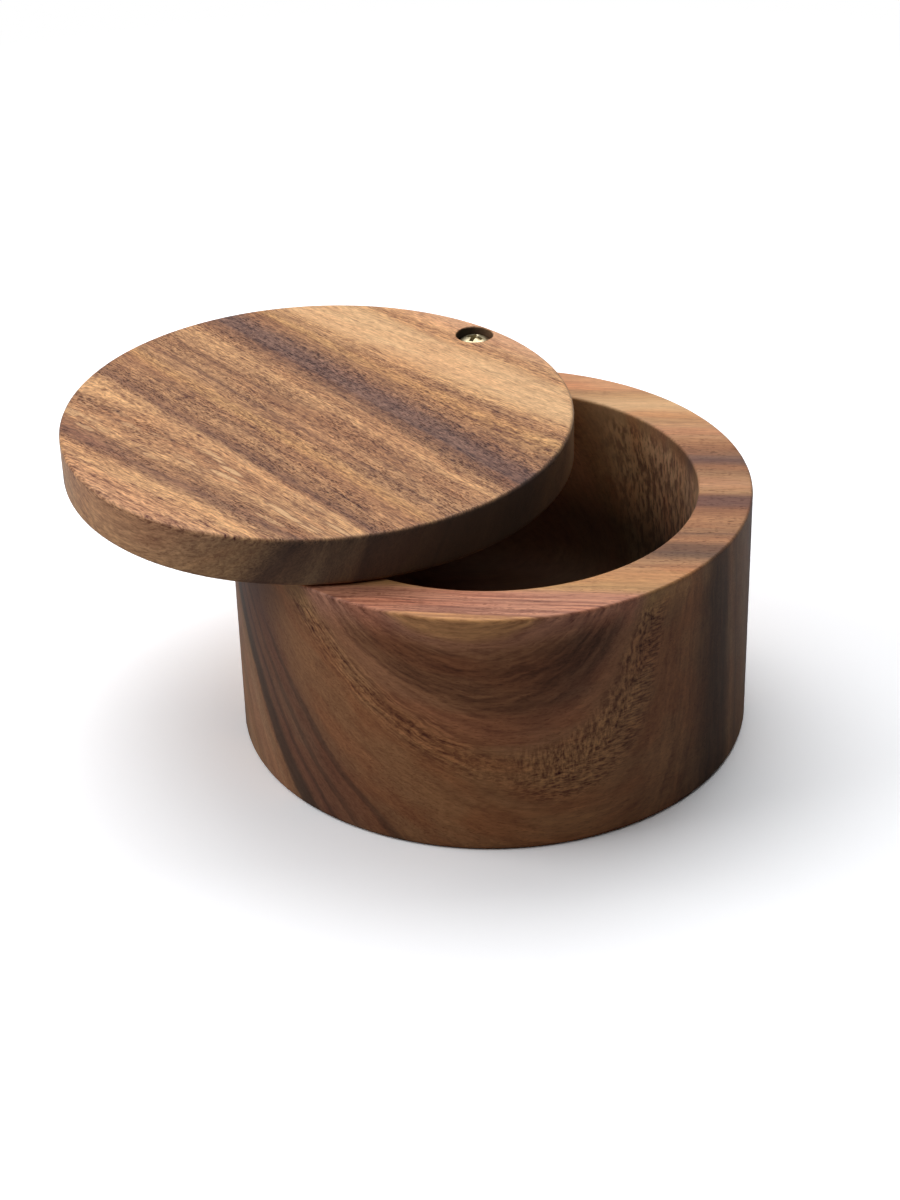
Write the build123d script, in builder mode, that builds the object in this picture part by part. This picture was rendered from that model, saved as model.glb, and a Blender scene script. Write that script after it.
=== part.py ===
from build123d import *

import os
from math import cos, radians, sin

# Round salt box turned from one block of wood, with a flat lid that swivels on a screw in the rim.
# The box stands on z = 0 with its axis on the Z axis, and the screw's axis crosses its wall on +Y.
# At rest the lid stands partly open, turned about the screw by rest_swing. All lengths are in millimetres.

# Body: a plain cup with a flat rim, a coved floor and eased edges
body_diameter = 89.0
body_height = 44.5
wall_thickness = 9.2
floor_thickness = 8.0
cove_radius = 6.0
rim_easing = 0.4
base_easing = 0.8

# Lid: a flat disc, a hair inside the body's edge when shut, with a rounded top edge and an eased lower one
lid_setback = 0.25
lid_thickness = 8.6
lid_edge_radius = 0.6
lid_easing = 0.8

# Pivot: how far its axis lies in from the body's outside, and the lid's turn at rest from shut, in degrees
pivot_inset = 4.1
rest_swing = -45.8

# Pivot screw: domed head, plain shank, threaded end with a gimlet point
head_diameter = 6.2
head_height = 2.1
head_side_height = 0.8
shank_diameter = 3.5
thread_diameter = 3.2
screw_length = 22.0
shank_below_rim = 3.0
point_length = 4.0
point_flat = 0.6

# Cross recess in the screw's head: two crossed slots that narrow towards their foot
recess_span = 3.6
recess_foot = 1.1
recess_width = 0.9
recess_depth = 1.5
recess_turn = 60.0

# Washers: one under the screw's head, and a thin one that carries the lid just off the rim
head_washer_diameter = 6.4
head_washer_thickness = 0.5
slip_washer_diameter = 7.0
slip_washer_thickness = 0.3

# Counterbore for the head, and the clearances of what turns
counterbore_diameter = 6.8
counterbore_depth = 3.0
shank_clearance = 0.05
head_washer_play = 0.05
point_clearance = 1.0

# What follows from the sizes above
body_radius = body_diameter / 2
lid_radius = body_radius - lid_setback
pivot_radius = body_radius - pivot_inset
pivot = Vector(0, pivot_radius, 0)
pivot_axis = Axis(pivot, (0, 0, 1))
running_bore_radius = shank_diameter / 2 + shank_clearance
lid_bottom = body_height + slip_washer_thickness
lid_top = lid_bottom + lid_thickness
head_washer_bottom = lid_top - counterbore_depth + head_washer_play
head_bottom = head_washer_bottom + head_washer_thickness
head_top = head_bottom + head_height
head_edge = (head_diameter / 2, head_bottom + head_side_height)
dome_rise = head_height - head_side_height
dome_radius = ((head_diameter / 2) ** 2 + dome_rise**2) / (2 * dome_rise)
shank_bottom = body_height - shank_below_rim
screw_tip = head_bottom - screw_length
swing = radians(rest_swing)
lid_centre = pivot + Vector(sin(swing), -cos(swing), 0) * pivot_radius


# Body: the outside, the hollow with its cove, then the stepped hole that the screw is driven into
with BuildPart() as body:
    with BuildSketch(Plane.XY):
        Circle(body_radius)
    extrude(amount=body_height)
    base = body.faces().sort_by(Axis.Z)[0]
    chamfer(base.edges(), length=base_easing)

    with BuildSketch(Plane.XY.offset(floor_thickness)):
        Circle(body_radius - wall_thickness)
    extrude(amount=body_height - floor_thickness, mode=Mode.SUBTRACT)
    hollow_floor = body.faces().filter_by(Plane.XY).sort_by(Axis.Z)[1]
    fillet(hollow_floor.edges(), radius=cove_radius)
    rim = body.faces().sort_by(Axis.Z)[-1]
    chamfer(rim.edges(), length=rim_easing)

    with Locations(pivot + Vector(0, 0, body_height)):
        CounterBoreHole(
            radius=thread_diameter / 2,
            counter_bore_radius=shank_diameter / 2,
            counter_bore_depth=shank_below_rim,
            depth=body_height - screw_tip + point_clearance,
        )

# Lid: a disc with softened edges, bored and counterbored for the screw
with BuildPart() as lid:
    with BuildSketch(Plane(lid_centre + Vector(0, 0, lid_bottom))):
        Circle(lid_radius)
    extrude(amount=lid_thickness)
    lower_edge, upper_edge = lid.edges().filter_by(GeomType.CIRCLE).sort_by(Axis.Z)
    chamfer(lower_edge, length=lid_easing)
    fillet(upper_edge, radius=lid_edge_radius)

    with Locations(pivot + Vector(0, 0, lid_top)):
        CounterBoreHole(
            radius=running_bore_radius,
            counter_bore_radius=counterbore_diameter / 2,
            counter_bore_depth=counterbore_depth,
            depth=lid_thickness,
        )

# Pivot screw: one turned profile, then the cross recess
with BuildPart() as pivot_screw:
    with BuildSketch(Plane(origin=pivot, x_dir=(1, 0, 0), z_dir=(0, -1, 0))):
        with BuildLine():
            RadiusArc((0, head_top), head_edge, dome_radius)
            Polyline(
                head_edge,
                (head_diameter / 2, head_bottom),
                (shank_diameter / 2, head_bottom),
                (shank_diameter / 2, shank_bottom),
                (thread_diameter / 2, shank_bottom),
                (thread_diameter / 2, screw_tip + point_length),
                (point_flat / 2, screw_tip),
                (0, screw_tip),
                (0, head_top),
            )
        make_face()
    revolve(axis=pivot_axis)

    for slot_turn in (radians(recess_turn), radians(recess_turn + 90)):
        slot_plane = Plane(
            origin=pivot + Vector(0, 0, head_top),
            x_dir=(cos(slot_turn), sin(slot_turn), 0),
            z_dir=(sin(slot_turn), -cos(slot_turn), 0),
        )
        with BuildSketch(slot_plane):
            with BuildLine():
                Polyline(
                    (-recess_span / 2, 0),
                    (-recess_foot / 2, -recess_depth),
                    (recess_foot / 2, -recess_depth),
                    (recess_span / 2, 0),
                    close=True,
                )
            make_face()
        extrude(amount=recess_width / 2, both=True, mode=Mode.SUBTRACT)

# Washer under the screw's head
with BuildPart() as head_washer:
    with BuildSketch(Plane(pivot + Vector(0, 0, head_washer_bottom))):
        Circle(head_washer_diameter / 2)
        Circle(running_bore_radius, mode=Mode.SUBTRACT)
    extrude(amount=head_washer_thickness)

# Slip washer between the rim and the lid
with BuildPart() as slip_washer:
    with BuildSketch(Plane(pivot + Vector(0, 0, body_height))):
        Circle(slip_washer_diameter / 2)
        Circle(running_bore_radius, mode=Mode.SUBTRACT)
    extrude(amount=slip_washer_thickness)

body.part.label = "body"
lid.part.label = "lid"
pivot_screw.part.label = "pivot_screw"
head_washer.part.label = "head_washer"
slip_washer.part.label = "slip_washer"

os.makedirs("parts", exist_ok=True)
for piece in (body, lid, pivot_screw, head_washer, slip_washer):
    export_step(piece.part, f"parts/{piece.part.label}.step")
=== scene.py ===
import math

import bpy
from mathutils import Matrix, Vector


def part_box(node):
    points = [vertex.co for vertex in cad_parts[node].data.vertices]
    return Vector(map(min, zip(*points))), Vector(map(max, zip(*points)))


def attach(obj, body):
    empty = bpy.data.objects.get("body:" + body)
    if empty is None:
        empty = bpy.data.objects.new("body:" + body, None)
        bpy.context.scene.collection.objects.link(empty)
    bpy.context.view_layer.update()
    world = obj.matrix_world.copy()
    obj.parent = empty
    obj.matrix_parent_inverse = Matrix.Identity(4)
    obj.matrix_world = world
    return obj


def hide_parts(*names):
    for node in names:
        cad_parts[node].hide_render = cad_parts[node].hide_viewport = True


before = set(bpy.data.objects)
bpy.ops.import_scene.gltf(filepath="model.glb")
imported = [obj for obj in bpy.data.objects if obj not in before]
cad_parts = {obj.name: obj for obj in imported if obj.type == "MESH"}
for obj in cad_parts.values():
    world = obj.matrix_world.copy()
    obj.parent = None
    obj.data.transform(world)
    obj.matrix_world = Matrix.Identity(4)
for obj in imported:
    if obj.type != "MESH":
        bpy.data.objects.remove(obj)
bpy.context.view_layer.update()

mm = 0.001
boxLow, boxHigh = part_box("body")
lidLow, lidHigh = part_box("lid")
screwLow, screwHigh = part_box("pivot_screw")
rim = boxHigh.z
lidCentre = (lidLow + lidHigh) / 2
pivot = (screwLow + screwHigh) / 2
print("frame loaded:", len(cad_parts), "nodes")


def linear(hexColour):
    channels = [int(hexColour[i : i + 2], 16) / 255 for i in (1, 3, 5)]
    return [c / 12.92 if c <= 0.04045 else ((c + 0.055) / 1.055) ** 2.4 for c in channels] + [1.0]


def add(tree, kind, inputs=None, output=0, **settings):
    node = tree.nodes.new(kind)
    for name, value in settings.items():
        setattr(node, name, value)
    for socket, value in (inputs or {}).items():
        if isinstance(value, bpy.types.NodeSocket):
            tree.links.new(value, node.inputs[socket])
        else:
            node.inputs[socket].default_value = value
    return node.outputs[output] if node.outputs else node


def emptyMaterial(name):
    material = bpy.data.materials.new(name)
    material.use_nodes = True
    material.node_tree.nodes.clear()
    return material, material.node_tree


# Acacia: heartwood and sapwood of one plank, from straw to dark umber, and two tones of painted shade
woodTones = {
    "straw": "#E0B383",
    "peach": "#D9A67F",
    "honey": "#C89769",
    "golden": "#BE8E5D",
    "rose": "#BB8065",
    "pinkTan": "#C4926B",
    "tan": "#AE8059",
    "nut": "#9E704D",
    "russet": "#8A5A3B",
    "walnut": "#845A41",
    "amber": "#CC9260",
    "apricot": "#D59B70",
    "cinnamon": "#A87149",
    "mauve": "#725144",
    "plum": "#744C3E",
    "umber": "#46332A",
    # the last two tones are painted shade, not wood: a grey for the shaded well and a near black for the
    # shaded screw recess
    "ash": "#353532",
    "recessShade": "#1E1A16",
}


def patchShare(tree, patch, layer, places):
    # 1 inside a patch of the board; it fades out across the layers, from 0.5 to 1.3 times "half", and,
    # where the patch says so, along the grain ("fade"), with height or with the distance from the axis
    away = add(tree, "ShaderNodeMath", {0: layer, 1: patch["layer"]}, operation="SUBTRACT")
    away = add(tree, "ShaderNodeMath", {0: away}, operation="ABSOLUTE")
    share = add(
        tree,
        "ShaderNodeMapRange",
        {"Value": away, "From Min": patch["half"] * 1.3, "From Max": patch["half"] * 0.5},
        interpolation_type="SMOOTHSTEP",
    )
    for key, place in places.items():
        if key in patch:
            start, end = patch[key]
            fade = add(
                tree,
                "ShaderNodeMapRange",
                {"Value": place, "From Min": start, "From Max": end},
                interpolation_type="SMOOTHSTEP",
            )
            share = add(tree, "ShaderNodeMath", {0: share, 1: fade}, operation="MULTIPLY")
    return share


def grainFigure(tree, grain, figure, seed):
    # light and dark at the size of one wood feature, in millimetres along, across and up; centred on 0
    place = add(
        tree,
        "ShaderNodeMapping",
        {"Vector": grain, "Location": (seed, seed, seed), "Scale": [1 / size for size in figure["size"]]},
    )
    shade = add(
        tree,
        "ShaderNodeTexNoise",
        {
            "Vector": place,
            "Scale": 1.0,
            "Detail": figure.get("detail", 2.0),
            "Roughness": 0.6,
            "Distortion": figure.get("twist", 0.0),
        },
    )
    return add(tree, "ShaderNodeMath", {0: shade, 1: 0.5}, operation="SUBTRACT")


def grainOvals(tree, grain, oval, shift):
    # ovals scattered along the grain, each of its own size: above 0 inside them, below 0 outside;
    # "room" is how far they spread in their cell, and the shift keeps two kinds from lining up
    length, width = oval["size"]
    place = add(
        tree,
        "ShaderNodeMapping",
        {"Vector": grain, "Location": shift, "Scale": (1 / length, 1 / width, 1 / width)},
    )
    cell = add(tree, "ShaderNodeTexVoronoi", {"Vector": place, "Scale": 1.0}, output="Distance").node
    chance = add(tree, "ShaderNodeSeparateColor", {0: cell.outputs["Color"]})
    room = add(
        tree,
        "ShaderNodeMath",
        {0: chance, 1: oval["room"], 2: oval.get("leastRoom", 0.0)},
        operation="MULTIPLY_ADD",
    )
    return add(tree, "ShaderNodeMath", {0: room, 1: cell.outputs["Distance"]}, operation="SUBTRACT")


def growthLayer(tree, wood, board, along, across, up):
    # the layers lean with height, fan out towards the plank's edges and wander along the tree
    lean = wood["leanCurve"]
    for share in (wood["leanTwist"], wood["lean"]):
        lean = add(tree, "ShaderNodeMath", {0: along, 1: lean, 2: share}, operation="MULTIPLY_ADD")
    drop = add(tree, "ShaderNodeMath", {0: up, 1: lean}, operation="MULTIPLY")
    layer = add(tree, "ShaderNodeMath", {0: across, 1: drop}, operation="SUBTRACT")
    if "fan" in wood:
        fan = wood["fan"]
        away = add(tree, "ShaderNodeMath", {0: across, 1: fan["middle"]}, operation="SUBTRACT")
        away = add(tree, "ShaderNodeMath", {0: away}, operation="ABSOLUTE")
        slope = add(
            tree,
            "ShaderNodeMapRange",
            {"Value": away, "From Min": fan["start"], "From Max": fan["end"], "To Max": -fan["slope"]},
            interpolation_type="SMOOTHSTEP",
        )
        layer = add(tree, "ShaderNodeMath", {0: along, 1: slope, 2: layer}, operation="MULTIPLY_ADD")
    for drift in wood["drifts"]:
        shift = grainFigure(tree, board, drift, wood["seed"])
        reach = drift["reach"]
        layer = add(tree, "ShaderNodeMath", {0: shift, 1: reach, 2: layer}, operation="MULTIPLY_ADD")
    return layer


def plankColour(tree, wood, layer, places):
    # broad bands of the wood's own colours, over a plank 92 mm wide
    plankHalf = 46.0
    place = add(tree, "ShaderNodeMath", {0: layer, 1: 0.5 / plankHalf, 2: 0.5}, operation="MULTIPLY_ADD")
    colour = add(tree, "ShaderNodeValToRGB", {0: place})
    ramp = colour.node.color_ramp
    ramp.interpolation = "EASE"
    while len(ramp.elements) < len(wood["bands"]):
        ramp.elements.new(0.5)
    for stop, (position, tone) in zip(ramp.elements, wood["bands"]):
        stop.position = (position + plankHalf) / (2 * plankHalf)
        stop.color = linear(woodTones[tone])

    # streaks that come and go along the grain
    for streak in wood["streaks"]:
        share = patchShare(tree, streak, layer, places)
        share = add(tree, "ShaderNodeMath", {0: share, 1: streak["depth"]}, operation="MULTIPLY")
        tone = linear(woodTones[streak["tone"]])
        colour = add(tree, "ShaderNodeMix", {0: share, 6: colour, 7: tone}, output=2, data_type="RGBA")
    return colour


def grainLight(tree, wood, grain, layer, places, lively):
    # lightness: growth lines, thin lines, fibres and mottle everywhere, then the figure of single patches
    light = 1.0
    for index, pattern in enumerate(wood["patterns"]):
        shade = grainFigure(tree, grain, pattern, wood["seed"] + 2 * index)
        shade = add(tree, "ShaderNodeMath", {0: shade, 1: lively}, operation="MULTIPLY")
        depth = pattern["depth"]
        light = add(tree, "ShaderNodeMath", {0: shade, 1: depth, 2: light}, operation="MULTIPLY_ADD")
    for index, figure in enumerate(wood["figures"]):
        soft, lift = figure.get("soft", 0.16), figure.get("lift", 0.0)
        low, high = lift - figure["depth"], lift + figure["depth"]
        shade = grainFigure(tree, grain, figure, wood["seed"] + 3 * index)
        shade = add(
            tree,
            "ShaderNodeMapRange",
            {"Value": shade, "From Min": -soft, "From Max": soft, "To Min": low, "To Max": high},
            interpolation_type="SMOOTHSTEP",
        )
        share = patchShare(tree, figure, layer, places)
        light = add(tree, "ShaderNodeMath", {0: shade, 1: share, 2: light}, operation="MULTIPLY_ADD")
    return light


def drawFlecks(tree, wood, grain, layer, places, colour):
    # pale flecks: long thin ovals where the fibres turn aside, each with a dark outline
    for index, fleck in enumerate(wood["flecks"]):
        oval = grainOvals(tree, grain, fleck, (index * 2.7, index * 4.3, 0))
        inside = add(tree, "ShaderNodeMapRange", {"Value": oval, "From Min": 0.0, "From Max": 0.12})
        # the outline is a ring just outside the oval
        around = add(tree, "ShaderNodeMapRange", {"Value": oval, "From Min": -0.16, "From Max": -0.02})
        around = add(tree, "ShaderNodeMath", {0: around, 1: inside}, operation="SUBTRACT")
        patch = patchShare(tree, fleck, layer, places)
        for share, depth, tone in (
            (around, fleck["outline"], "walnut"),
            (inside, fleck["depth"], "straw"),
        ):
            share = add(tree, "ShaderNodeMath", {0: share, 1: patch}, operation="MULTIPLY")
            share = add(tree, "ShaderNodeMath", {0: share, 1: depth}, operation="MULTIPLY")
            colour = add(
                tree,
                "ShaderNodeMix",
                {0: share, 6: colour, 7: linear(woodTones[tone])},
                output=2,
                data_type="RGBA",
            )
    return colour


def drawPores(tree, wood, grain, heartwood, top, colour):
    # pores: vessels cut open, short dashes along the grain, crowded in places, half as deep on the turned
    # sides; they are drawn about 0.25 mm wide, a little wider than real ones, so that they show
    crowd = grainFigure(tree, grain, {"size": (18, 4, 6)}, wood["seed"] + 11)
    crowd = add(
        tree,
        "ShaderNodeMapRange",
        {"Value": crowd, "From Min": -0.14, "From Max": 0.1, "To Min": 0.35},
        interpolation_type="SMOOTHSTEP",
    )
    crowd = add(tree, "ShaderNodeMath", {0: crowd, 1: heartwood}, operation="MULTIPLY")
    share = add(tree, "ShaderNodeMath", {0: top, 1: 0.5, 2: 0.5}, operation="MULTIPLY_ADD")
    crowd = add(tree, "ShaderNodeMath", {0: crowd, 1: share}, operation="MULTIPLY")
    dents = 0.0
    for index, pore in enumerate(wood["pores"]):
        oval = grainOvals(tree, grain, pore, (index * 3.3, index * 5.1, 0))
        dash = add(tree, "ShaderNodeMapRange", {"Value": oval, "From Min": -0.04, "From Max": 0.1})
        dash = add(tree, "ShaderNodeMath", {0: dash, 1: crowd}, operation="MULTIPLY")
        share = add(tree, "ShaderNodeMath", {0: dash, 1: pore["depth"]}, operation="MULTIPLY")
        colour = add(
            tree,
            "ShaderNodeMix",
            {0: share, 6: colour, 7: linear(pore["tint"])},
            output=2,
            data_type="RGBA",
            blend_type="MULTIPLY",
        )
        dents = add(tree, "ShaderNodeMath", {0: share, 1: dents}, operation="MAXIMUM")
    return colour, dents


def paintHollowShade(tree, wood, coords, colour):
    # painted shade: the wood darkens towards a set depth inside the box's well and inside the screw's
    # recess in the lid, where shade falls
    for hollow in wood["hollowShade"]:
        offset = add(tree, "ShaderNodeVectorMath", {0: coords, 1: hollow["place"]}, operation="SUBTRACT")
        away = add(tree, "ShaderNodeVectorMath", {0: offset, 1: (1, 1, 0)}, operation="MULTIPLY")
        away = add(tree, "ShaderNodeVectorMath", {0: away}, output="Value", operation="LENGTH")
        inside = add(tree, "ShaderNodeMath", {0: away, 1: hollow["radius"]}, operation="LESS_THAN")
        height = add(tree, "ShaderNodeSeparateXYZ", {0: offset}, output="Z")
        start, end = hollow["height"]
        deep = add(
            tree,
            "ShaderNodeMapRange",
            {"Value": height, "From Min": start, "From Max": end, "To Max": hollow["depth"]},
            interpolation_type="SMOOTHSTEP",
        )
        share = add(tree, "ShaderNodeMath", {0: deep, 1: inside}, operation="MULTIPLY")
        tone = linear(woodTones[hollow["tone"]])
        colour = add(tree, "ShaderNodeMix", {0: share, 6: colour, 7: tone}, output=2, data_type="RGBA")
    return colour


def acacia(name, wood):
    # Oiled acacia, turned and sanded: satin bands of brown, dark open pores, pale fibres, dull end grain;
    # with painted shade in the hollows and painted shade and sheen mixed into the end grain
    material, tree = emptyMaterial(name)
    coords = add(tree, "ShaderNodeTexCoord", output="Object")

    # board space in millimetres: X along the grain, Y across the layers, Z up from the top face
    board = add(
        tree,
        "ShaderNodeMapping",
        {
            "Vector": coords,
            "Location": wood["centre"],
            "Rotation": (0, 0, math.radians(wood["grainTurn"])),
            "Scale": (mm, mm, mm),
        },
        vector_type="TEXTURE",
    )
    along, across, up = add(tree, "ShaderNodeSeparateXYZ", {0: board}).node.outputs
    outwards = add(tree, "ShaderNodeVectorMath", {0: board, 1: (1, 1, 0)}, operation="MULTIPLY")
    outwards = add(tree, "ShaderNodeVectorMath", {0: outwards}, output="Value", operation="LENGTH")
    places = {"fade": along, "height": up, "radius": outwards}

    layer = growthLayer(tree, wood, board, along, across, up)
    grain = add(tree, "ShaderNodeCombineXYZ", {0: along, 1: layer, 2: up})
    colour = plankColour(tree, wood, layer, places)

    # by its brightness, the pale sapwood is calmer than the dark heartwood and hardly shows its pores
    tone = add(tree, "ShaderNodeRGBToBW", {0: colour})
    heartwood = add(
        tree,
        "ShaderNodeMapRange",
        {"Value": tone, "From Min": 0.42, "From Max": 0.2, "To Min": 0.2},
        interpolation_type="SMOOTHSTEP",
    )
    lively = add(
        tree,
        "ShaderNodeMapRange",
        {"Value": tone, "From Min": 0.44, "From Max": 0.34, "To Min": 0.5},
        interpolation_type="SMOOTHSTEP",
    )

    # 1 on the sanded top, 0 below it on the turned sides, which are calmer still
    top = add(tree, "ShaderNodeMapRange", {"Value": up, "From Min": -1.5, "From Max": -0.5})
    side = wood["sideFigure"]
    share = add(tree, "ShaderNodeMath", {0: top, 1: 1 - side, 2: side}, operation="MULTIPLY_ADD")
    lively = add(tree, "ShaderNodeMath", {0: lively, 1: share}, operation="MULTIPLY")

    # warm patches a few centimetres long
    warmth = grainFigure(tree, grain, {"size": (35, 5, 12)}, wood["seed"] + 5)
    warmth = add(
        tree,
        "ShaderNodeMapRange",
        {"Value": warmth, "From Min": -0.08, "From Max": 0.12, "To Max": wood["blush"]},
        interpolation_type="SMOOTHSTEP",
    )
    colour = add(
        tree,
        "ShaderNodeMix",
        {0: warmth, 6: colour, 7: linear("#FFC9B0")},
        output=2,
        data_type="RGBA",
        blend_type="MULTIPLY",
    )

    # the dark lines are redder than the pale ones
    light = grainLight(tree, wood, grain, layer, places, lively)
    tinted = add(tree, "ShaderNodeCombineXYZ", {0: light, 1: light, 2: light})
    tinted = add(
        tree,
        "ShaderNodeVectorMath",
        {0: tinted, 1: (0.85, 1.0, 0.98), 2: (0.15, 0.0, 0.02)},
        operation="MULTIPLY_ADD",
    )
    colour = add(tree, "ShaderNodeVectorMath", {0: colour, 1: tinted}, operation="MULTIPLY")
    colour = drawFlecks(tree, wood, grain, layer, places, colour)
    colour, dents = drawPores(tree, wood, grain, heartwood, top, colour)

    # cut fibre ends drink more oil, so they read darker and duller; the end tone also paints shade on the
    # lid's turned side and part of a grey grazing sheen on the box's ends
    ends = add(
        tree,
        "ShaderNodeAttribute",
        output="Fac",
        attribute_name="endGrain",
        attribute_type="GEOMETRY",
    )
    ends = add(tree, "ShaderNodeMath", {0: ends, 1: wood["endFocus"]}, operation="POWER")
    ends = add(tree, "ShaderNodeMath", {0: ends, 1: wood["endDepth"]}, operation="MULTIPLY")
    colour = add(
        tree,
        "ShaderNodeMix",
        {0: ends, 6: colour, 7: linear(wood["endGrainShadeSheenTone"])},
        output=2,
        data_type="RGBA",
    )
    # painted shade in the box's well and in the lid's screw recess
    colour = paintHollowShade(tree, wood, coords, colour)

    # the pores are dented and duller, and the oil keeps the gloss low
    rough = wood["roughness"]
    rough = add(tree, "ShaderNodeMath", {0: dents, 1: 0.2, 2: rough}, operation="MULTIPLY_ADD")
    relief = add(tree, "ShaderNodeMath", {0: light, 1: dents}, operation="SUBTRACT")
    bump = add(tree, "ShaderNodeBump", {"Height": relief, "Strength": 0.3, "Distance": 0.04 * mm})
    shader = add(
        tree,
        "ShaderNodeBsdfPrincipled",
        {
            "Base Color": colour,
            "Roughness": rough,
            "IOR": 1.45,
            "Specular IOR Level": 0.28,
            "Normal": bump,
        },
    )
    add(tree, "ShaderNodeOutputMaterial", {"Surface": shader})
    return material


def brass(name, metal):
    # Brass, plated or pressed and tumbled: pale yellow where it is rubbed, browner in its small dents
    material, tree = emptyMaterial(name)
    coords = add(tree, "ShaderNodeTexCoord", output="Object")
    scale = 1 / (metal["spots"] * mm)
    spots = add(tree, "ShaderNodeTexNoise", {"Vector": coords, "Scale": scale, "Detail": 3.0})
    worn = add(tree, "ShaderNodeMapRange", {"Value": spots, "From Min": 0.35, "From Max": 0.6})
    colour = add(
        tree,
        "ShaderNodeMix",
        {0: worn, 6: linear(metal["dull"]), 7: linear(metal["bright"])},
        output=2,
        data_type="RGBA",
    )
    dull = metal["roughness"] + 0.12
    rough = add(tree, "ShaderNodeMath", {0: worn, 1: -0.15, 2: dull}, operation="MULTIPLY_ADD")
    bump = add(tree, "ShaderNodeBump", {"Height": spots, "Strength": 0.3, "Distance": 0.02 * mm})
    shader = add(
        tree,
        "ShaderNodeBsdfPrincipled",
        {"Base Color": colour, "Metallic": 1.0, "Roughness": rough, "Normal": bump},
    )
    add(tree, "ShaderNodeOutputMaterial", {"Surface": shader})
    return material


def turnedPieceTree():
    tree = bpy.data.node_groups.new("turnedPiece", "GeometryNodeTree")
    for name, kind in {
        "Profile": "NodeSocketGeometry",
        "Segments": "NodeSocketInt",
        "Place": "NodeSocketVector",
        "Grain Direction": "NodeSocketVector",
        "Drilled": "NodeSocketBool",
        "Hole Place": "NodeSocketVector",
        "Hole Radius": "NodeSocketFloat",
        "Hole Depth": "NodeSocketFloat",
        "Seat Radius": "NodeSocketFloat",
        "Seat Depth": "NodeSocketFloat",
        "Mouth Easing": "NodeSocketFloat",
        "Material": "NodeSocketMaterial",
    }.items():
        tree.interface.new_socket(name, in_out="INPUT", socket_type=kind)
    tree.interface.new_socket("Mesh", in_out="OUTPUT", socket_type="NodeSocketGeometry")
    given = add(tree, "NodeGroupInput").node.outputs

    # the profile is rounded at its corners, swept round a 1 mm circle and moved to its place
    outline = add(tree, "GeometryNodeMeshToCurve", {0: given["Profile"]})
    easing = add(tree, "GeometryNodeInputNamedAttribute", {"Name": "easing"}, data_type="FLOAT")
    rounded = add(
        tree,
        "GeometryNodeFilletCurve",
        {"Curve": outline, "Count": 5, "Radius": easing},
        mode="POLY",
    )
    inwards = add(tree, "GeometryNodeTransform", {"Geometry": rounded, "Translation": (-mm, 0, 0)})
    path = add(tree, "GeometryNodeCurvePrimitiveCircle", {"Resolution": given["Segments"], "Radius": mm})
    swept = add(tree, "GeometryNodeCurveToMesh", {0: path, 1: inwards})
    closed = add(tree, "GeometryNodeMergeByDistance", {"Geometry": swept, "Distance": 0.002 * mm})
    shape = add(tree, "GeometryNodeTransform", {"Geometry": closed, "Translation": given["Place"]})

    # the drilled hole: a bore, a wider seat above it and the seat's eased mouth, each cut out as a cone
    hole, seat, easing = given["Hole Radius"], given["Seat Radius"], given["Mouth Easing"]
    mouth = add(tree, "ShaderNodeMath", {0: seat, 1: easing}, operation="ADD")
    drilled = shape
    for top, bottom, depth, above in (
        (hole, hole, given["Hole Depth"], mm),
        (seat, seat, given["Seat Depth"], mm),
        (mouth, seat, easing, 0.0),
    ):
        length = add(tree, "ShaderNodeMath", {0: depth, 1: above}, operation="ADD")
        cutter = add(
            tree,
            "GeometryNodeMeshCone",
            {"Vertices": 64, "Radius Top": top, "Radius Bottom": bottom, "Depth": length},
        )
        low = add(tree, "ShaderNodeMath", {0: depth, 1: -1.0}, operation="MULTIPLY")
        low = add(tree, "ShaderNodeCombineXYZ", {2: low})
        low = add(tree, "ShaderNodeVectorMath", {0: low, 1: given["Hole Place"]}, operation="ADD")
        cutter = add(tree, "GeometryNodeTransform", {"Geometry": cutter, "Translation": low})
        drilled = add(
            tree,
            "GeometryNodeMeshBoolean",
            {0: drilled, 1: cutter},
            operation="DIFFERENCE",
            solver="EXACT",
        )
    shape = add(
        tree,
        "GeometryNodeSwitch",
        {"Switch": given["Drilled"], "False": shape, "True": drilled},
        input_type="GEOMETRY",
    )

    # how squarely each spot faces along the grain, for the darker end grain and the shade and sheen
    # painted with it
    normal = add(tree, "GeometryNodeInputNormal")
    facing = add(
        tree,
        "ShaderNodeVectorMath",
        {0: normal, 1: given["Grain Direction"]},
        output="Value",
        operation="DOT_PRODUCT",
    )
    share = add(tree, "ShaderNodeMath", {0: facing}, operation="ABSOLUTE")
    shape = add(
        tree,
        "GeometryNodeStoreNamedAttribute",
        {"Geometry": shape, "Name": "endGrain", "Value": share},
        data_type="FLOAT",
        domain="CORNER",
    )

    # smooth faces, with a crease wherever two of them meet at more than 28 degrees
    angle = add(tree, "GeometryNodeInputMeshEdgeAngle", output="Unsigned Angle")
    crease = add(
        tree,
        "FunctionNodeCompare",
        {0: angle, 1: math.radians(28)},
        data_type="FLOAT",
        operation="GREATER_THAN",
    )
    for domain, chosen, smooth in (("FACE", True, True), ("EDGE", crease, False)):
        shape = add(
            tree,
            "GeometryNodeSetShadeSmooth",
            {"Geometry": shape, "Selection": chosen, "Shade Smooth": smooth},
            domain=domain,
        )
    shape = add(tree, "GeometryNodeRealizeInstances", {0: shape})
    shape = add(tree, "GeometryNodeSetMaterial", {"Geometry": shape, "Material": given["Material"]})
    add(tree, "NodeGroupOutput", {0: shape})
    return tree


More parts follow.
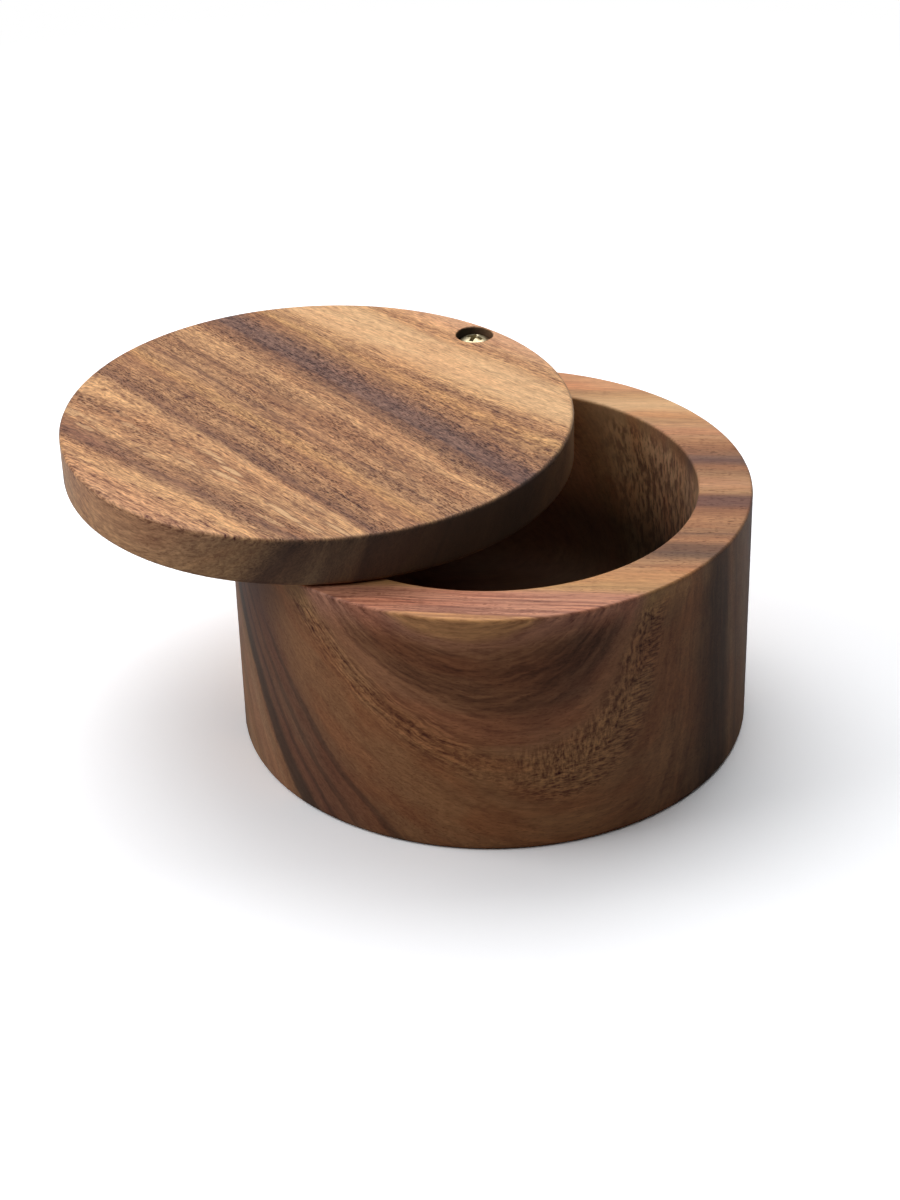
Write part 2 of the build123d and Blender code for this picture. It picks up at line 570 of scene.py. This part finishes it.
def pivotScrewTree(turnedPiece):
    tree = bpy.data.node_groups.new("pivotScrew", "GeometryNodeTree")
    for name, kind in {
        "Profile": "NodeSocketGeometry",
        "Place": "NodeSocketVector",
        "Head Top": "NodeSocketFloat",
        "Recess Span": "NodeSocketFloat",
        "Recess Foot": "NodeSocketFloat",
        "Recess Width": "NodeSocketFloat",
        "Recess Depth": "NodeSocketFloat",
        "Recess Turn": "NodeSocketFloat",
        "Thread Bottom": "NodeSocketFloat",
        "Thread Top": "NodeSocketFloat",
        "Point Length": "NodeSocketFloat",
        "Pitch": "NodeSocketFloat",
        "Core Radius": "NodeSocketFloat",
        "Ridge": "NodeSocketFloat",
        "Material": "NodeSocketMaterial",
    }.items():
        tree.interface.new_socket(name, in_out="INPUT", socket_type=kind)
    tree.interface.new_socket("Mesh", in_out="OUTPUT", socket_type="NodeSocketGeometry")
    given = add(tree, "NodeGroupInput").node.outputs

    shape = add(
        tree,
        "GeometryNodeGroup",
        {"Profile": given["Profile"], "Segments": 64, "Material": given["Material"]},
        node_tree=turnedPiece,
    )

    # the cross recess: a four-sided wedge, slimmed, cut out twice a quarter turn apart
    top = add(tree, "ShaderNodeMath", {0: given["Recess Span"], 1: math.sqrt(2)}, operation="DIVIDE")
    foot = add(tree, "ShaderNodeMath", {0: given["Recess Foot"], 1: math.sqrt(2)}, operation="DIVIDE")
    depth = given["Recess Depth"]
    wedge = add(
        tree,
        "GeometryNodeMeshCone",
        {"Vertices": 4, "Radius Top": top, "Radius Bottom": foot, "Depth": depth},
    )
    wedge = add(tree, "GeometryNodeTransform", {"Geometry": wedge, "Rotation": (0, 0, math.pi / 4)})
    slim = add(
        tree,
        "ShaderNodeMath",
        {0: given["Recess Width"], 1: given["Recess Span"]},
        operation="DIVIDE",
    )
    slim = add(tree, "ShaderNodeCombineXYZ", {0: 1.0, 1: slim, 2: 1.0})
    low = add(tree, "ShaderNodeMath", {0: given["Head Top"], 1: depth}, operation="SUBTRACT")
    low = add(tree, "ShaderNodeCombineXYZ", {2: low})
    for quarter in (0.0, math.pi / 2):
        turn = add(tree, "ShaderNodeMath", {0: given["Recess Turn"], 1: quarter}, operation="ADD")
        turn = add(tree, "ShaderNodeCombineXYZ", {2: turn})
        slot = add(
            tree,
            "GeometryNodeTransform",
            {"Geometry": wedge, "Scale": slim, "Rotation": turn, "Translation": low},
        )
        shape = add(
            tree,
            "GeometryNodeMeshBoolean",
            {0: shape, 1: slot},
            operation="DIFFERENCE",
            solver="EXACT",
        )

    # the thread: a three-sided ridge along a helix, which narrows over the point
    bottom, core = given["Thread Bottom"], given["Core Radius"]
    pointTop = add(tree, "ShaderNodeMath", {0: bottom, 1: given["Point Length"]}, operation="ADD")
    ridge = add(tree, "GeometryNodeCurvePrimitiveCircle", {"Resolution": 3, "Radius": given["Ridge"]})
    joined = add(tree, "GeometryNodeJoinGeometry")
    tree.links.new(shape, joined.node.inputs[0])
    for low, high, start in (
        (bottom, pointTop, 0.1 * mm),
        (pointTop, given["Thread Top"], core),
    ):
        rise = add(tree, "ShaderNodeMath", {0: high, 1: low}, operation="SUBTRACT")
        turns = add(tree, "ShaderNodeMath", {0: rise, 1: given["Pitch"]}, operation="DIVIDE")
        helix = add(
            tree,
            "GeometryNodeCurveSpiral",
            {
                "Resolution": 28,
                "Rotations": turns,
                "Start Radius": start,
                "End Radius": core,
                "Height": rise,
            },
        )
        swept = add(tree, "GeometryNodeCurveToMesh", {0: helix, 1: ridge, "Fill Caps": True})
        lift = add(tree, "ShaderNodeCombineXYZ", {2: low})
        swept = add(tree, "GeometryNodeTransform", {"Geometry": swept, "Translation": lift})
        tree.links.new(swept, joined.node.inputs[0])
    shape = add(tree, "GeometryNodeTransform", {"Geometry": joined, "Translation": given["Place"]})
    shape = add(tree, "GeometryNodeRealizeInstances", {0: shape})
    shape = add(tree, "GeometryNodeSetMaterial", {"Geometry": shape, "Material": given["Material"]})
    add(tree, "NodeGroupOutput", {0: shape})
    return tree


def turningProfile(name, corners, closed=False):
    # corners are (radius, height, easing) in metres; a guard point on each side of an eased corner keeps
    # the faces beside it flat
    points, easings = [], []
    for i, (radius, height, easing) in enumerate(corners):
        here = Vector((radius, -height, 0))
        beside = []
        for step in (-1, 1):
            other = i + step
            if easing and (closed or 0 <= other < len(corners)):
                otherRadius, otherHeight = corners[other % len(corners)][:2]
                run = Vector((otherRadius, -otherHeight, 0)) - here
                guard = 1.7 * easing
                beside.append([here + run.normalized() * guard] if run.length > 2 * guard else [])
            else:
                beside.append([])
        points += [*beside[0], here, *beside[1]]
        easings += [0.0] * len(beside[0]) + [easing] + [0.0] * len(beside[1])
    edges = [(i, i + 1) for i in range(len(points) - 1)] + ([(len(points) - 1, 0)] if closed else [])
    mesh = bpy.data.meshes.new(name)
    mesh.from_pydata(points, edges, [])
    mesh.attributes.new("easing", "FLOAT", "POINT").data.foreach_set("value", easings)
    piece = bpy.data.objects.new(name, mesh)
    bpy.context.scene.collection.objects.link(piece)
    return piece


def makePiece(piece, tree, values):
    modifier = piece.modifiers.new(tree.name, "NODES")
    modifier.node_group = tree
    for item in tree.interface.items_tree:
        if item.item_type == "SOCKET" and item.in_out == "INPUT" and item.name in values:
            modifier[item.identifier] = values[item.name]
    graph = bpy.context.evaluated_depsgraph_get()
    shown = piece.evaluated_get(graph)
    made = bpy.data.meshes.new_from_object(shown, preserve_all_data_layers=True, depsgraph=graph)
    piece.modifiers.remove(modifier)
    piece.data = made
    return piece


def grainDirection(wood):
    turn = math.radians(wood["grainTurn"])
    return (math.cos(turn), math.sin(turn), 0)


def drilling(sizes, height):
    # the screw's hole in a turned piece whose upper face lies at this height
    return {
        "Drilled": True,
        "Hole Place": (pivot.x, pivot.y, height),
        "Hole Radius": sizes["boreRadius"],
        "Hole Depth": sizes["boreDepth"],
        "Seat Radius": sizes["seatRadius"],
        "Seat Depth": sizes["seatDepth"],
        "Mouth Easing": sizes["mouthEasing"],
    }


# The lid's board: straight in the middle, its lines fanning out by a few degrees towards both edges
lidWood = {
    "centre": (lidCentre.x, lidCentre.y, lidHigh.z),
    "grainTurn": -53.5,
    "seed": 1.3,
    "lean": 0.5,
    "leanTwist": 0.0,
    "leanCurve": 0.0,
    "fan": {"middle": -2.0, "start": 16.0, "end": 27.0, "slope": 0.115},
    "sideFigure": 0.5,
    "drifts": [
        {"size": (60, 24, 24), "reach": 1.6},
        {"size": (16, 5, 5), "reach": 0.8},
        {"size": (4, 1.2, 1.5), "reach": 0.7},
    ],
    "bands": [
        (-44, "pinkTan"), (-36, "honey"), (-33, "walnut"), (-31, "nut"), (-28.2, "honey"),
        (-25.5, "tan"), (-24, "nut"), (-22.3, "honey"), (-20.5, "honey"), (-18.5, "walnut"),
        (-16.8, "nut"), (-14.5, "tan"), (-12, "nut"), (-10, "golden"), (-7.5, "tan"), (-3.3, "tan"),
        (-1.5, "nut"), (0.5, "tan"), (2.8, "honey"), (5, "tan"), (8.2, "walnut"), (9.5, "mauve"),
        (11.5, "mauve"), (16, "nut"), (18.5, "golden"), (21.2, "tan"), (23, "honey"), (27, "straw"),
        (33, "straw"), (36.5, "honey"), (43, "peach"),
    ],
    "streaks": [
        {"layer": -5.9, "half": 0.45, "tone": "walnut", "depth": 0.7},
        {"layer": -23.2, "half": 2.6, "fade": (12, 22), "tone": "honey", "depth": 0.6},
        {"layer": -32.5, "half": 2.6, "fade": (-6, -14), "tone": "plum", "depth": 0.3},
    ],
    "patterns": [
        {"size": (60, 1.7, 10), "depth": 1.1, "detail": 3.0},
        {"size": (20, 0.5, 2.5), "depth": 1.4},
        {"size": (1.7, 0.27, 0.5), "depth": 3.0},
        {"size": (3.5, 1.4, 2.5), "depth": 1.1, "detail": 3.0, "twist": 0.6},
    ],
    "figures": [
        {"layer": 11.5, "half": 4.5, "size": (1.3, 0.7, 1.2), "depth": 0.4},
        {"layer": 3.8, "half": 1.5, "size": (25, 0.5, 3), "depth": 0.2},
        {"layer": -29, "half": 5.5, "fade": (-2, -12), "size": (3, 0.7, 2), "depth": 0.24,
         "soft": 0.12, "twist": 1.2, "detail": 1.0},
        {"layer": -17, "half": 3, "size": (2.4, 0.9, 2), "depth": 0.14, "twist": 1.0},
        {"layer": -39, "half": 5, "size": (3.0, 0.5, 1), "depth": 0.14},
    ],
    "flecks": [
        {"layer": -26.5, "half": 6, "fade": (-6, 4), "height": (-1, 0), "size": (9, 1.3),
         "room": 0.45, "leastRoom": 0.1, "depth": 0.9, "outline": 0.65},
        {"layer": -28.5, "half": 5, "fade": (2, -10), "height": (-1, 0), "size": (6, 1.0),
         "room": 0.45, "leastRoom": 0.1, "depth": 0.5, "outline": 0.4},
    ],
    "blush": 0.15,
    "pores": [
        {"size": (1.1, 0.28), "room": 0.5, "depth": 0.78, "tint": "#865A42"},
        {"size": (0.7, 0.23), "room": 0.54, "depth": 0.78, "tint": "#8E6248"},
        {"size": (2.2, 0.26), "room": 0.42, "depth": 0.85, "tint": "#845840"},
    ],
    # the lid's end tone is near black: real darker end grain plus painted shade on the lid's turned side
    "endGrainShadeSheenTone": "#47403A",
    "endFocus": 1.45,
    "endDepth": 0.95,
    "roughness": 0.44,
    # painted shade: the wall of the screw's counterbore darkens to near black just below the lid's top
    "hollowShade": [
        {"place": (pivot.x, pivot.y, lidHigh.z), "radius": 3.45 * mm, "height": (0.0, -0.5 * mm),
         "tone": "recessShade", "depth": 0.8},
    ],
}

# The box's block: the layers lean and curve, which draws the U on its front
boxWood = {
    "centre": (0, 0, rim),
    "grainTurn": -9.0,
    "seed": 7.3,
    "lean": 0.425,
    "leanTwist": -0.0066,
    "leanCurve": -0.00011,
    "sideFigure": 1.0,
    "drifts": [
        {"size": (60, 24, 24), "reach": 1.6},
        {"size": (16, 5, 5), "reach": 0.8},
        {"size": (4, 1.2, 1.5), "reach": 0.4},
    ],
    "bands": [
        (-45, "amber"), (-43.3, "amber"), (-42.2, "rose"), (-38.5, "rose"), (-36, "rose"),
        (-33.5, "golden"), (-29, "amber"), (-25, "tan"), (-21.8, "nut"), (-21.4, "walnut"),
        (-21, "nut"), (-17, "tan"), (-15.6, "nut"), (-15, "walnut"), (-14.4, "nut"), (-10.5, "tan"),
        (-7.5, "nut"), (-4.6, "plum"), (-2.6, "plum"), (-0.6, "tan"), (2, "pinkTan"), (5, "tan"),
        (8, "nut"), (10.6, "mauve"), (14, "nut"), (17, "tan"), (21, "pinkTan"), (26, "honey"),
        (31, "straw"), (35, "honey"), (37.5, "apricot"), (44, "apricot"),
    ],
    "streaks": [
        {"layer": -33, "half": 14, "height": (-0.5, -7), "tone": "cinnamon", "depth": 0.75},
        {"layer": -39.6, "half": 2.6, "height": (-1, -7), "tone": "russet", "depth": 0.95},
        {"layer": -38.2, "half": 2.2, "fade": (4, 20), "height": (-1, -5), "tone": "umber",
         "depth": 0.5},
        {"layer": -33, "half": 7, "fade": (16, 30), "height": (-1, -6), "tone": "walnut",
         "depth": 0.35},
        {"layer": -30, "half": 9, "fade": (0, -14), "height": (-1, -6), "tone": "walnut", "depth": 0.2},
        {"layer": -20.6, "half": 3, "fade": (20, 32), "tone": "umber", "depth": 0.62},
        {"layer": -22, "half": 4.2, "fade": (26, 34), "height": (-1, -8), "tone": "umber",
         "depth": 0.45},
        {"layer": -16.8, "half": 6.4, "fade": (-8, -24), "height": (-1, -6), "tone": "plum",
         "depth": 0.65},
        {"layer": -24, "half": 5, "fade": (-29, -36), "height": (-1, -4), "tone": "plum", "depth": 0.5},
        {"layer": -21.6, "half": 0.6, "fade": (0, -14), "height": (-8, -16), "tone": "umber",
         "depth": 0.5},
        {"layer": -18.2, "half": 0.6, "fade": (-14, -26), "tone": "umber", "depth": 0.5},
        {"layer": -15.4, "half": 0.4, "fade": (-14, -26), "tone": "umber", "depth": 0.5},
        {"layer": -11.6, "half": 1.7, "fade": (-15, -28), "tone": "umber", "depth": 0.85},
        {"layer": -5, "half": 4, "fade": (-15, -30), "tone": "pinkTan", "depth": 0.8},
        # painted light: a peach lift on the well's inner right wall, below the rim, where light falls
        # past the lid
        {"layer": 12, "half": 18, "fade": (18, 28), "height": (-1, -4), "radius": (40, 37),
         "tone": "peach", "depth": 0.6},
    ],
    "patterns": [
        {"size": (60, 1.7, 10), "depth": 0.7, "detail": 3.0},
        {"size": (22, 0.45, 2.5), "depth": 0.75},
        {"size": (2.6, 0.3, 0.5), "depth": 0.9},
        {"size": (3.5, 1.6, 2.5), "depth": 0.3, "detail": 3.0, "twist": 0.6},
    ],
    "figures": [
        {"layer": -33.8, "half": 1.2, "fade": (2, 16), "height": (-1, -4), "size": (0.5, 4, 1.6),
         "depth": 0.5},
        {"layer": -32.2, "half": 1.1, "fade": (2, 16), "height": (-1, -4), "size": (1.3, 4, 0.35),
         "depth": 0.45},
        {"layer": -33.4, "half": 2.2, "fade": (8, -6), "height": (-1, -4), "size": (7, 0.3, 7),
         "depth": 0.4},
        {"layer": -33.1, "half": 1.4, "height": (-1, -4), "size": (1.1, 0.8, 0.8), "depth": 0.25,
         "twist": 0.6},
        {"layer": -33.4, "half": 2.4, "fade": (-14, -24), "height": (-1, -4),
         "size": (1.3, 0.4, 0.9), "depth": 0.25},
        {"layer": -39.5, "half": 3, "height": (-1, -4), "size": (5, 0.35, 5), "depth": 0.22},
        # speckled figure on the well's inner right wall; its lift of 0.15 is painted light on that lit
        # wall
        {"layer": 17, "half": 17, "fade": (14, 22), "height": (-1, -4), "radius": (40, 37),
         "size": (0.9, 0.9, 2.6), "depth": 0.6, "lift": 0.15, "soft": 0.12},
        {"layer": -41, "half": 6, "height": (-2.5, -0.5), "size": (20, 0.6, 3), "depth": 0.26,
         "soft": 0.12},
        {"layer": -24, "half": 8, "fade": (24, 32), "height": (-1, -4), "size": (14, 0.6, 14),
         "depth": 0.2},
        {"layer": -39, "half": 3.5, "size": (14, 0.6, 14), "depth": 0.15},
    ],
    "flecks": [],
    "blush": 0.3,
    "pores": [
        {"size": (1.8, 0.3), "room": 0.42, "depth": 0.65, "tint": "#84604A"},
        {"size": (1.0, 0.24), "room": 0.42, "depth": 0.65, "tint": "#8E6A52"},
    ],
    # the box's end tone is a light grey: real darker end grain plus part of a painted grazing sheen at
    # the box's ends
    "endGrainShadeSheenTone": "#73665C",
    "endFocus": 2.0,
    "endDepth": 0.4,
    "roughness": 0.44,
    # painted shade: the well's wall and floor darken to grey towards the bottom, where the lid's shade
    # falls
    "hollowShade": [
        {"place": (0, 0, rim), "radius": 35.6 * mm, "height": (-11 * mm, -25 * mm), "tone": "ash",
         "depth": 0.78},
    ],
}

acaciaBox = acacia("oiledAcaciaBox", boxWood)
acaciaLid = acacia("oiledAcaciaLid", lidWood)
platedBrass = brass(
    "brassPlatedSteel",
    {"bright": "#BFB394", "dull": "#8E8262", "roughness": 0.34, "spots": 1.1},
)
pressedBrass = brass(
    "pressedBrass",
    {"bright": "#CFAE68", "dull": "#9C7A42", "roughness": 0.38, "spots": 1.1},
)
print("materials made:", len(bpy.data.materials))

turnedPiece = turnedPieceTree()
pivotScrew = pivotScrewTree(turnedPiece)

# Box: a plain cup with a coved floor and a blind pilot hole in its rim, stepped for the screw's shank
boxSizes = {
    "radius": boxHigh.x,
    "well": 35.3 * mm,
    "floor": 8 * mm,
    "cove": 6 * mm,
    "rimEasing": 0.5 * mm,
    "baseEasing": 0.9 * mm,
    "boreRadius": 1.6 * mm,
    "boreDepth": rim - screwLow.z + 1.0 * mm,
    "seatRadius": 1.75 * mm,
    "seatDepth": 3.0 * mm,
    "mouthEasing": 0.1 * mm,
}
saltBox = turningProfile(
    "saltBox",
    [
        (0, 0, 0),
        (boxSizes["radius"], 0, boxSizes["baseEasing"]),
        (boxSizes["radius"], rim, boxSizes["rimEasing"]),
        (boxSizes["well"], rim, boxSizes["rimEasing"]),
        (boxSizes["well"], boxSizes["floor"], boxSizes["cove"]),
        (0, boxSizes["floor"], 0),
    ],
)
makePiece(
    saltBox,
    turnedPiece,
    {
        "Segments": 256,
        "Place": (0, 0, 0),
        "Grain Direction": grainDirection(boxWood),
        "Material": acaciaBox,
        **drilling(boxSizes, rim),
    },
)

# Lid: a flat disc with softened edges, counterbored for the screw's head
lidSizes = {
    "radius": (lidHigh.x - lidLow.x) / 2,
    "topEasing": 0.6 * mm,
    "underEasing": 0.8 * mm,
    "boreRadius": 1.8 * mm,
    "boreDepth": 12 * mm,  # right through
    "seatRadius": 3.4 * mm,
    "seatDepth": 3.0 * mm,
    "mouthEasing": 0.15 * mm,
}
swivelLid = turningProfile(
    "swivelLid",
    [
        (0, lidLow.z, 0),
        (lidSizes["radius"], lidLow.z, lidSizes["underEasing"]),
        (lidSizes["radius"], lidHigh.z, lidSizes["topEasing"]),
        (0, lidHigh.z, 0),
    ],
)
makePiece(
    swivelLid,
    turnedPiece,
    {
        "Segments": 256,
        "Place": (lidCentre.x, lidCentre.y, 0),
        "Grain Direction": grainDirection(lidWood),
        "Material": acaciaLid,
        **drilling(lidSizes, lidHigh.z),
    },
)
print("box and lid turned:", len(saltBox.data.polygons), "and", len(swivelLid.data.polygons), "faces")

# Screw: a domed head, a plain shank and a thread that bites into the wall
screwSizes = {
    "headRadius": 3.1 * mm,
    "headHeight": 2.05 * mm,
    "headSide": 0.8 * mm,
    "headEasing": 0.15 * mm,
    "shankRadius": 1.75 * mm,
    "shankBottom": rim - 3 * mm,
    "shankTaper": 0.5 * mm,
    "shankEasing": 0.2 * mm,
    "coreRadius": 1.2 * mm,
    "pointLength": 4 * mm,
    "pointEasing": 0.6 * mm,
    "threadBottom": screwLow.z + 0.4 * mm,
    "threadTop": rim - 3.2 * mm,
    "pitch": 1.5 * mm,
    "ridge": 0.55 * mm,
    "recessSpan": 3.6 * mm,
    "recessFoot": 1.1 * mm,
    "recessWidth": 0.9 * mm,
    "recessDepth": 1.5 * mm,
    "recessTurn": 60,
}


def screwProfile(sizes, steps=12):
    # from the tip up to the crown; the dome is an arc
    headTop, tip = screwHigh.z, screwLow.z
    headBottom = headTop - sizes["headHeight"]
    rise = sizes["headHeight"] - sizes["headSide"]
    crown = (sizes["headRadius"] ** 2 + rise**2) / (2 * rise)
    widest = math.asin(sizes["headRadius"] / crown)
    stem = [
        (0, tip, 0),
        (sizes["coreRadius"], tip + sizes["pointLength"], sizes["pointEasing"]),
        (sizes["coreRadius"], sizes["shankBottom"] - sizes["shankTaper"], 0),
        (sizes["shankRadius"], sizes["shankBottom"], sizes["shankEasing"]),
        (sizes["shankRadius"], headBottom, 0),
        (sizes["headRadius"], headBottom, sizes["headEasing"]),
    ]
    angles = [widest * i / steps for i in range(steps, -1, -1)]
    dome = [(crown * math.sin(a), headTop - crown * (1 - math.cos(a)), 0) for a in angles]
    return stem + dome


screw = turningProfile("pivotScrew", screwProfile(screwSizes))
makePiece(
    screw,
    pivotScrew,
    {
        "Place": (pivot.x, pivot.y, 0),
        "Head Top": screwHigh.z + 0.05 * mm,  # just above the crown, so the slots cut right through it
        "Recess Span": screwSizes["recessSpan"],
        "Recess Foot": screwSizes["recessFoot"],
        "Recess Width": screwSizes["recessWidth"],
        "Recess Depth": screwSizes["recessDepth"],
        "Recess Turn": math.radians(screwSizes["recessTurn"]),
        "Thread Bottom": screwSizes["threadBottom"],
        "Thread Top": screwSizes["threadTop"],
        "Point Length": screwSizes["pointLength"],
        "Pitch": screwSizes["pitch"],
        "Core Radius": screwSizes["coreRadius"],
        "Ridge": screwSizes["ridge"],
        "Material": platedBrass,
    },
)

# Washers: pressed rings, one under the head and a thin one between rim and lid
washerSizes = {"bore": 1.8 * mm, "easing": 0.08 * mm}
washers = {}
for node, name in (("head_washer", "headWasher"), ("slip_washer", "slipWasher")):
    low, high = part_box(node)
    bore, outside, easing = washerSizes["bore"], high.x - pivot.x, washerSizes["easing"]
    washers[node] = turningProfile(
        name,
        [
            (bore, low.z, easing),
            (outside, low.z, easing),
            (outside, high.z, easing),
            (bore, high.z, easing),
        ],
        closed=True,
    )
    makePiece(
        washers[node],
        turnedPiece,
        {"Segments": 96, "Place": (pivot.x, pivot.y, 0), "Drilled": False, "Material": pressedBrass},
    )
print("screw made:", len(screw.data.polygons), "faces, and", len(washers), "washers")

for piece, body, node, slot in (
    (saltBox, "box", "body", "acacia_box"),
    (swivelLid, "swivel_lid", "lid", "acacia_lid"),
    (screw, "box", "pivot_screw", "screw_brass"),
    (washers["head_washer"], "box", "head_washer", "washer_brass"),
    (washers["slip_washer"], "box", "slip_washer", "washer_brass"),
):
    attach(piece, body)
    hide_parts(node)

# Studio: a white table that shows white to the camera but throws only a little light back
studio = {
    "floorTint": (0.99, 1.0, 1.025),
    "floorBounce": 0.48,
    "floorSeen": 1.4,
    "floorGlossy": (0.06, 0.6),  # front, rear
    "floorRearFrom": (-0.04, 0.1),
    "shadowReach": (0.2, 0.4),
    "skyLight": 0.01,
    "skySeen": 1.0,
    "skyGlossy": (0.05, 0.5),
    "skyRearFrom": (-0.2, 0.6),
    "lamps": [
        {"name": "overheadSoftBox", "place": (-0.1, 0, 0.7), "size": (1.2, 1.2), "watts": 3.3},
        {"name": "rearSoftBox", "place": (0, 0.35, 0.6), "size": (0.8, 0.5), "watts": 2.8},
        {"name": "leftSoftBox", "place": (-0.5, 0, 0.35), "size": (0.4, 0.4), "watts": 1.42},
    ],
}


def whiteFloor():
    bpy.ops.mesh.primitive_plane_add(size=4.0, location=(0, 0, 0))
    floor = bpy.context.object
    floor.name = "whiteFloor"
    material, tree = emptyMaterial("mattWhiteCard")
    rays = add(tree, "ShaderNodeLightPath").node.outputs
    front, rear = studio["floorGlossy"]
    start, end = studio["floorRearFrom"]
    place = add(tree, "ShaderNodeTexCoord", output="Object")
    back = add(tree, "ShaderNodeSeparateXYZ", {0: place}, output="Y")
    mirrored = add(
        tree,
        "ShaderNodeMapRange",
        {"Value": back, "From Min": start, "From Max": end, "To Min": front, "To Max": rear},
    )
    shade = studio["floorBounce"]
    for ray, level in (("Is Glossy Ray", mirrored), ("Is Camera Ray", studio["floorSeen"])):
        shade = add(tree, "ShaderNodeMix", {0: rays[ray], 2: shade, 3: level}, data_type="FLOAT")
    card = add(tree, "ShaderNodeVectorMath", {0: studio["floorTint"], "Scale": shade}, operation="SCALE")
    surface = add(tree, "ShaderNodeBsdfDiffuse", {"Color": card})

    # beyond the object's shadow the camera sees plain white
    start, end = studio["shadowReach"]
    away = add(tree, "ShaderNodeVectorMath", {0: place}, output="Value", operation="LENGTH")
    away = add(
        tree,
        "ShaderNodeMapRange",
        {"Value": away, "From Min": start, "From Max": end},
        interpolation_type="SMOOTHSTEP",
    )
    away = add(tree, "ShaderNodeMath", {0: away, 1: rays["Is Camera Ray"]}, operation="MULTIPLY")
    white = add(tree, "ShaderNodeEmission", {"Color": (1, 1, 1, 1), "Strength": studio["skySeen"]})
    surface = add(tree, "ShaderNodeMixShader", {0: away, 1: surface, 2: white})
    add(tree, "ShaderNodeOutputMaterial", {"Surface": surface})
    floor.data.materials.append(material)
    return floor


def softBox(lamp):
    light = bpy.data.lights.new(lamp["name"], "AREA")
    light.shape = "RECTANGLE"
    light.size, light.size_y = lamp["size"]
    light.energy = lamp["watts"]
    box = bpy.data.objects.new(lamp["name"], light)
    place = Vector(lamp["place"])
    aim = (Vector((0, 0, 0.02)) - place).to_track_quat("-Z", "Y")
    box.matrix_world = Matrix.Translation(place) @ aim.to_matrix().to_4x4()
    bpy.context.scene.collection.objects.link(box)
    return box


def studioSky():
    world = bpy.data.worlds.new("studioSky")
    bpy.context.scene.world = world
    world.use_nodes = True
    tree = world.node_tree
    tree.nodes.clear()
    rays = add(tree, "ShaderNodeLightPath").node.outputs
    direction = add(tree, "ShaderNodeTexCoord", output="Generated")
    back = add(tree, "ShaderNodeSeparateXYZ", {0: direction}, output="Y")
    front, rear = studio["skyGlossy"]
    start, end = studio["skyRearFrom"]
    mirrored = add(
        tree,
        "ShaderNodeMapRange",
        {"Value": back, "From Min": start, "From Max": end, "To Min": front, "To Max": rear},
    )
    level, seen = studio["skyLight"], studio["skySeen"]
    for ray, toward in (
        ("Is Glossy Ray", mirrored),
        ("Is Camera Ray", seen),
        ("Is Transmission Ray", seen),
    ):
        level = add(tree, "ShaderNodeMix", {0: rays[ray], 2: level, 3: toward}, data_type="FLOAT")
    sky = add(tree, "ShaderNodeBackground", {"Color": (1, 1, 1, 1), "Strength": level})
    add(tree, "ShaderNodeOutputWorld", {"Surface": sky})
    return world


cameraView = {
    "place": (-23.107, -385.04, 254.804),  # millimetres
    "down": 31.171,
    "turn": -2.331,
    "tilt": -1.602,
    "lens": 77.264,
}


def standCamera(view):
    data = bpy.data.cameras.new("camera")
    data.sensor_width = 36
    data.lens = view["lens"]
    data.clip_start = 0.01
    camera = bpy.data.objects.new("camera", data)
    bpy.context.scene.collection.objects.link(camera)
    down, turn, tilt = (math.radians(view[key]) for key in ("down", "turn", "tilt"))
    aim = Matrix.Rotation(turn, 4, "Z") @ Matrix.Rotation(math.pi / 2 - down, 4, "X")
    place = Matrix.Translation(Vector(view["place"]) * mm)
    camera.matrix_world = place @ aim @ Matrix.Rotation(tilt, 4, "Z")
    bpy.context.scene.camera = camera
    return camera


whiteFloor()
for lamp in studio["lamps"]:
    softBox(lamp)
studioSky()
standCamera(cameraView)
bpy.context.scene.view_settings.view_transform = "Standard"
print("studio ready:", len(studio["lamps"]), "lamps")
